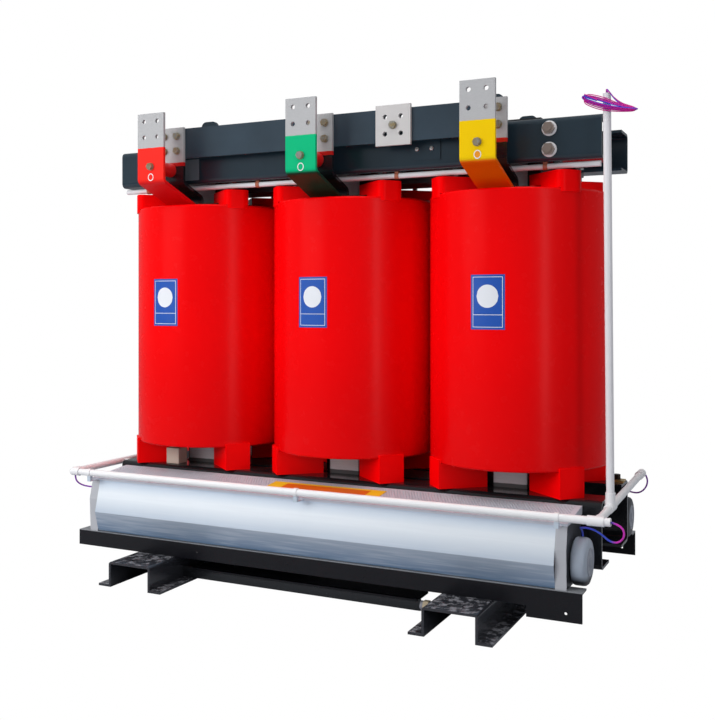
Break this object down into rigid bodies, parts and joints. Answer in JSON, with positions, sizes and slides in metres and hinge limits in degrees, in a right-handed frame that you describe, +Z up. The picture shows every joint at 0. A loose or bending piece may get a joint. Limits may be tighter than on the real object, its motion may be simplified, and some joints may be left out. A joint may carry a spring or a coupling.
{
  "type": "dry type transformer",
  "caption": "Open dry type transformer with cast resin coils on a clamped core, low voltage bars on top, base fans, conduit and two skids.",
  "frame": {"origin": "on the floor under the middle coil, at the centre of the skids' slot pattern", "axes": "+X along the row of coils towards the fan motors, +Y towards the high voltage side, +Z up"},
  "size_m": [1.7655, 1.02, 1.455],
  "materials": {
    "frame_paint": "gloss",
    "core_paint": "satin",
    "hv_resin": "gloss",
    "lv_resin": "satin",
    "pad_resin": "gloss",
    "bar_red": "gloss",
    "bar_green": "gloss",
    "bar_yellow": "gloss",
    "bar_black": "gloss",
    "tinned_copper": "satin",
    "post_resin": "gloss",
    "zinc": "satin",
    "stainless": "brushed",
    "zinc_sheet": "satin",
    "fan_caps": "satin",
    "fan_cover": "satin",
    "fan_rotor": "satin",
    "motor_paint": "satin",
    "pvc": "gloss",
    "brass": "satin",
    "delta_paint": "gloss",
    "wire_blue": "satin",
    "wire_purple": "satin"
  },
  "bodies": {
    "frame": {"skid_left": "frame_paint", "skid_right": "frame_paint", "upper_clamp_front": "frame_paint", "upper_clamp_rear": "frame_paint", "lower_clamp_front": "frame_paint", "lower_clamp_rear": "frame_paint", "fan_rail_front": "frame_paint", "fan_rail_rear": "frame_paint", "spreader_bars": "frame_paint", "lower_yoke": "core_paint", "upper_yoke": "core_paint", "core_leg_a": "core_paint", "core_leg_b": "core_paint", "core_leg_c": "core_paint", "hv_coil_a": "hv_resin", "hv_coil_b": "hv_resin", "hv_coil_c": "hv_resin", "lv_coil_a": "lv_resin", "lv_coil_b": "lv_resin", "lv_coil_c": "lv_resin", "lower_pads_a": "pad_resin", "lower_pads_b": "pad_resin", "lower_pads_c": "pad_resin", "upper_pads_a": "pad_resin", "upper_pads_b": "pad_resin", "upper_pads_c": "pad_resin", "phase_bar_a": "bar_red", "phase_bar_b": "bar_green", "phase_bar_c": "bar_yellow", "neutral_riser_a": "bar_black", "neutral_riser_b": "bar_black", "neutral_riser_c": "bar_black", "neutral_bus": "bar_black", "neutral_terminal": "tinned_copper", "insulators": "post_resin", "clamp_studs": "zinc", "jack_bolts": "zinc", "busbar_bolts": "zinc", "tie_plates": "stainless", "fan_front_housing": "zinc_sheet", "fan_rear_housing": "zinc_sheet", "fan_front_caps": "fan_caps", "fan_rear_caps": "fan_caps", "fan_front_grille": "fan_cover", "fan_rear_grille": "fan_cover", "fan_front_motor": "motor_paint", "fan_rear_motor": "motor_paint", "conduit_base": "pvc", "conduit_riser": "pvc", "conduit_top": "pvc", "conduit_fittings": "pvc", "earth_terminal": "brass", "hv_terminals": "brass", "delta_rods": "delta_paint", "lead_front": "wire_blue", "lead_left": "wire_purple", "lead_rear": "wire_purple", "sensor_hank": "wire_purple"},
    "rotor_front": {"fan_front_rotor": "fan_rotor"},
    "rotor_rear": {"fan_rear_rotor": "fan_rotor"}
  },
  "joints": [
    {"name": "fan_front_spin", "type": "hinge", "parent": "frame", "child": "rotor_front", "pos_m": [0, -0.296, 0.184], "axis": [1, 0, 0], "continuous": true},
    {"name": "fan_rear_spin", "type": "hinge", "parent": "frame", "child": "rotor_rear", "pos_m": [0, 0.296, 0.184], "axis": [1, 0, 0], "continuous": true}
  ]
}
